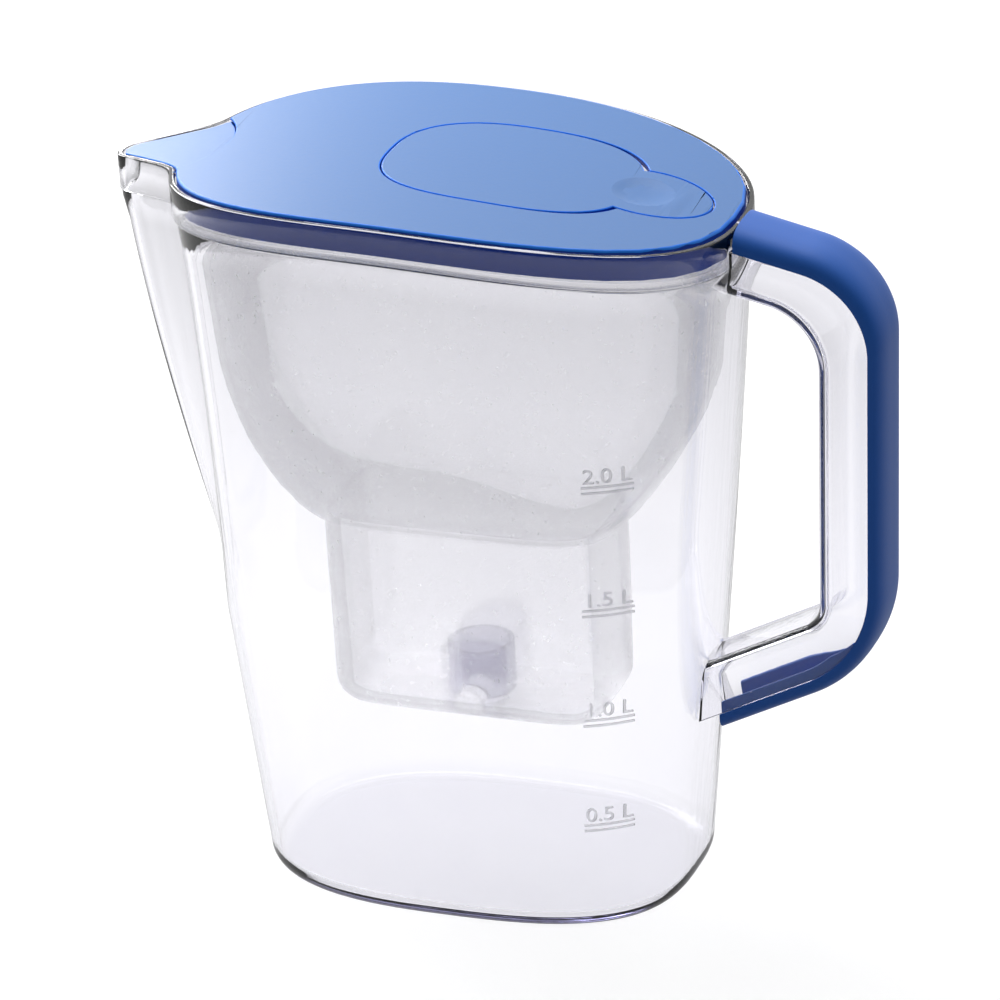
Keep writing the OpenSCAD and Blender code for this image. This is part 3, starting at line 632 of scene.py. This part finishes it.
def rim_ring(d, rise):
    return [polar(inset(lambda b: oval(rim_oval, b), a, d), a, oval_z(a) + rise) for a in around]


def bowl_ring(t, d, lift):
    share = (1 - t ** bowl_curve) ** (1 / bowl_curve)
    return funnel_ring([mix(p, q, share) for p, q in zip(pocket_oval, bowl_oval)],
                       mix(bowl_h, shoulder_h, t) + lift * t, d)


def pocket_ring(t, z, r, d):
    return funnel_ring(pocket_oval, z + r * (1 - math.cos(t)), d + r * (1 - math.sin(t)) + pocket_draft)


def hole_ring(z):
    return [(tube_x + hole_r * math.cos(a), hole_r * math.sin(a), z) for a in around]


bowl_steps = [(1 - math.cos(math.pi * i / 32)) / 2 for i in range(33)]
pocket_turns = [math.radians(15 * i) for i in range(7)]
floor_in, pocket_inner = pocket_h + funnel_wall, pocket_round - funnel_wall
funnel_rings = [hole_ring(pocket_h)]
funnel_rings += [pocket_ring(t, pocket_h, pocket_round, 0) for t in pocket_turns]
funnel_rings += [bowl_ring(t, 0, 0) for t in reversed(bowl_steps)]
funnel_rings += [rim_ring(neck_inset, 0), rim_ring(flange_inset + flange_round, 0),
                 rim_ring(flange_inset, flange_round), rim_ring(flange_inset, flange_t - flange_round),
                 rim_ring(flange_inset + flange_round, flange_t),
                 rim_ring(neck_inset + funnel_wall - neck_round, flange_t),
                 rim_ring(neck_inset + funnel_wall, flange_t - neck_round)]
funnel_rings += [bowl_ring(t, funnel_wall, funnel_wall) for t in bowl_steps]
funnel_rings += [pocket_ring(t, floor_in, pocket_inner, funnel_wall) for t in reversed(pocket_turns)]
funnel_rings += [hole_ring(floor_in)]
frosted, frost_tree, frost_shader = finish(
    "frosted_plastic", (0.98, 0.977, 0.99), Roughness=0.2, IOR=1.3, Transmission_Weight=0.94)
moulded_surface(frost_tree, frost_shader, (1, 1, 1), 500, 0.00001,
                ((0.975, 0.972, 0.988), (0.985, 0.982, 0.992)), (0.22, 0.3))
let_light_through(frost_tree, frost_shader, 0.3, 0.52)
funnel = mesh_piece("funnel", *skin(funnel_rings, endless=True), frosted)
soften(funnel, 35)
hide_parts("funnel_bowl")
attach(funnel, "funnel")

# ---------------------------------------------------------------- guide tube
# The short upright tube on the pocket's floor, moulded with the funnel, that takes the cartridge's
# outlet. It keeps its solid from part.scad and gets a clearer plastic.
tube_plastic, tube_tree, tube_shader = finish(
    "tube_plastic", (0.82, 0.81, 0.90), Roughness=0.15, IOR=1.45, Transmission_Weight=0.85)
moulded_surface(tube_tree, tube_shader, (1, 1, 1), 500, 0.00001,
                ((0.80, 0.79, 0.89), (0.84, 0.83, 0.91)), (0.12, 0.18))
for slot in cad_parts["guide_tube"].material_slots:
    slot.material = tube_plastic

# ---------------------------------------------------------------- lid and flaps
# Mouldings of satin blue plastic: the arched lid with its keyhole opening, the ring below its seam
# line, the tipping fill flap and the spout flap. Their edges are softly rounded.
lid_blue, lid_tree, lid_shader = finish(
    "lid_blue", (0.012, 0.135, 0.42), Roughness=0.42, IOR=1.5, Sheen_Weight=0.15, Sheen_Roughness=0.5)
moulded_surface(lid_tree, lid_shader, (1, 1, 1), 700, 0.00002,
                ((0.011, 0.13, 0.40), (0.013, 0.14, 0.44)), (0.38, 0.46))
# Painted highlight: a brighter, more saturated copy of the lid's blue for the rounded edges and the step's
# face, so they read as lit edges
lid_edge_painted_highlight, painted_highlight_tree, painted_highlight_shader = finish(
    "lid_edge_painted_highlight", (0.0, 0.2, 0.9), Roughness=0.45, IOR=1.45)
moulded_surface(painted_highlight_tree, painted_highlight_shader, (1, 1, 1), 700, 0.00002,
                ((0.0, 0.19, 0.86), (0.0, 0.21, 0.92)), (0.4, 0.5))
# Painted shade: a darker navy copy of the lid's blue for the upright faces, which get little light from the
# lamps
lid_side_painted_shade, painted_shade_tree, painted_shade_shader = finish(
    "lid_side_painted_shade", (0.0, 0.045, 0.42), Roughness=0.4, IOR=1.45, Specular_IOR_Level=0.3)
moulded_surface(painted_shade_tree, painted_shade_shader, (1, 1, 1), 700, 0.00002,
                ((0.0, 0.042, 0.40), (0.0, 0.048, 0.44)), (0.36, 0.44))
dimple_x, dimple_r = 71.5, 8.5
lid_rise, flap_drop, inner_edge_share = 0.9, 1.5, 0.5
step_c, step_r = -109.3, 33.4
merge_gap, flat_angle, edge_angle = 2e-6, math.radians(0.05), math.radians(40)
along_arch, upright = math.cos(math.radians(9)), 0.5
outline_slack, step_slack = 0.3, 0.4


def arch_normals(piece):
    """Gives the faces that follow the lid's arch the arch's own normals, so they shade as one curve."""
    mesh = piece.data
    normals = [Vector(corner.vector) for corner in mesh.corner_normals]
    for face in mesh.polygons:
        middle = face.center * to_mm
        in_dimple = math.hypot(middle.x - dimple_x, middle.y) < dimple_r
        for index in face.loop_indices:
            spot = mesh.vertices[mesh.loops[index].vertex_index].co * to_mm
            tilt = (spot.x + arch_x) / arch_r
            arch = Vector((tilt, 0, math.sqrt(1 - tilt * tilt)))
            if face.normal.dot(arch) > along_arch and not in_dimple:
                normals[index] = arch
    mesh.normals_split_custom_set(normals)


def rounding(edge):
    """How much of the rounding an edge gets: all at the lid's outline, less at the openings' edges."""
    if len(edge.link_faces) != 2 or edge.calc_face_angle(0) <= edge_angle or not edge.is_convex:
        return 0.0
    steep = [abs(face.normal.z) < upright for face in edge.link_faces]
    middle = (edge.verts[0].co + edge.verts[1].co) * (to_mm / 2)
    on_top = middle.z > arch_h(middle.x) + lid_rise - flap_drop
    if not on_top or steep[0] == steep[1]:
        return 0.0
    outline = inset(rim_plan, math.atan2(middle.y, middle.x), flange_inset)
    return 1.0 if abs(middle.xy.length - outline) < outline_slack else inner_edge_share


def moulded(node, name, width):
    """A CAD node's shape with its edges rounded by a small width, as its mould leaves them.

    The rounded edges and the step's face are painted a brighter blue as a painted highlight, and the other
    upright faces a darker blue as painted shade."""
    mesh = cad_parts[node].data.copy()
    work = bmesh.new()
    work.from_mesh(mesh)
    bmesh.ops.remove_doubles(work, verts=work.verts, dist=merge_gap)
    bmesh.ops.dissolve_limit(work, angle_limit=flat_angle, verts=work.verts, edges=work.edges)
    weight = work.edges.layers.float.new("bevel_weight_edge")
    for edge in work.edges:
        edge[weight] = rounding(edge)
    work.to_mesh(mesh)
    work.free()
    mesh.materials.clear()
    for material in (lid_blue, lid_edge_painted_highlight, lid_side_painted_shade):
        mesh.materials.append(material)
    piece = bpy.data.objects.new(name, mesh)
    sheet.collection.objects.link(piece)
    bevel = piece.modifiers.new("edges", "BEVEL")
    bevel.width = width
    bevel.segments = 3
    bevel.limit_method = "WEIGHT"
    # The rounded edges take the brighter blue, a painted highlight
    bevel.use_clamp_overlap = False
    bevel.material = 1
    settle(piece)
    # Light and shade painted by facing: upright faces on the step get the brighter painted-highlight blue,
    # all other upright faces the darker painted-shade blue
    for face in piece.data.polygons:
        spot = face.center * to_mm
        if abs(face.normal.z) < upright and face.material_index == 0:
            on_step = abs(math.hypot(spot.x - step_c, spot.y) - step_r) < step_slack
            face.material_index = 1 if on_step else 2
    soften(piece, 35)
    arch_normals(piece)
    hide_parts(node)
    return piece


for node, name, carrier, width in (("lid_cover", "lid", "lid", 0.0008),
                                   ("lid_ring", "lid_lower_ring", "lid", 0.0002),
                                   ("fill_flap", "fill_flap_panel", "fill_flap", 0.0008),
                                   ("spout_flap", "spout_flap_panel", "spout_flap", 0.0005)):
    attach(moulded(node, name, width), carrier)

# ---------------------------------------------------------------- level marks
# Raised capacity numbers on the jug's wall, each on a double line at the level it stands for.
mark_angle, letter_h, mark_proud, mark_sunk = math.radians(-35.7), 5.2, 0.45, 0.02
font_share, letter_lift = 1.4, 2.4
line_heights, line_half, line_t, line_slope, line_steps = (-1.4, 0.6), 7.6, 0.8, 0.08, 16
mark_names = ((38.8, "0.5 L"), (77.8, "1.0 L"), (117.8, "1.5 L"), (161.8, "2.0 L"))


def on_wall(u, v, w, z):
    """A point u along the wall from the marks' middle, v above a level and w proud of the wall."""
    a = mark_angle + u / wall_plan(mark_angle, z)
    return polar(inset_wall(a, z + v, -w), a, z + v)


mark_points, mark_faces = [], []
line_section = ((0.0, mark_sunk), (line_t, mark_sunk), (line_t - line_slope, mark_proud),
                (line_slope, mark_proud))
for mark_z, words in mark_names:
    text = bpy.data.curves.new("number", "FONT")
    text.body = words
    text.size = letter_h * font_share
    text.align_x = "CENTER"
    text.extrude = 0.5
    text.resolution_u = 4
    number = bpy.data.objects.new("number", text)
    shape = bpy.data.meshes.new_from_object(number)
    flat = bmesh.new()
    flat.from_mesh(shape)
    bmesh.ops.remove_doubles(flat, verts=flat.verts, dist=1e-4)
    first = len(mark_points)
    for vert in flat.verts:
        w = mark_proud if vert.co.z > 0 else mark_sunk
        mark_points.append(on_wall(vert.co.x, vert.co.y + letter_lift, w, mark_z))
    flat.verts.index_update()
    mark_faces += [[first + vert.index for vert in face.verts] for face in flat.faces]
    flat.free()
    bpy.data.objects.remove(number)
    bpy.data.curves.remove(text)
    bpy.data.meshes.remove(shape)
    for line_v in line_heights:
        first = len(mark_points)
        for i in range(line_steps + 1):
            u = -line_half + 2 * line_half * i / line_steps
            mark_points += [on_wall(u, line_v + v, w, mark_z) for v, w in line_section]
        for i in range(line_steps):
            for k in range(4):
                q, r = first + 4 * i + k, first + 4 * i + (k + 1) % 4
                mark_faces.append((q, r, r + 4, q + 4))
        last = first + 4 * line_steps
        mark_faces += [tuple(range(first + 3, first - 1, -1)), tuple(range(last, last + 4))]
mark_plastic, mark_tree, mark_shader = finish(
    "mark_plastic", (0.93, 0.93, 0.95), Roughness=0.1, IOR=1.5, Transmission_Weight=0.8)
moulded_surface(mark_tree, mark_shader, (1, 1, 1), 800, 0.00002,
                ((0.90, 0.90, 0.93), (0.95, 0.95, 0.97)), (0.06, 0.14))
marks = mesh_piece("level_numbers", mark_points, mark_faces, mark_plastic)
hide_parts("level_marks")
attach(marks, "jug")
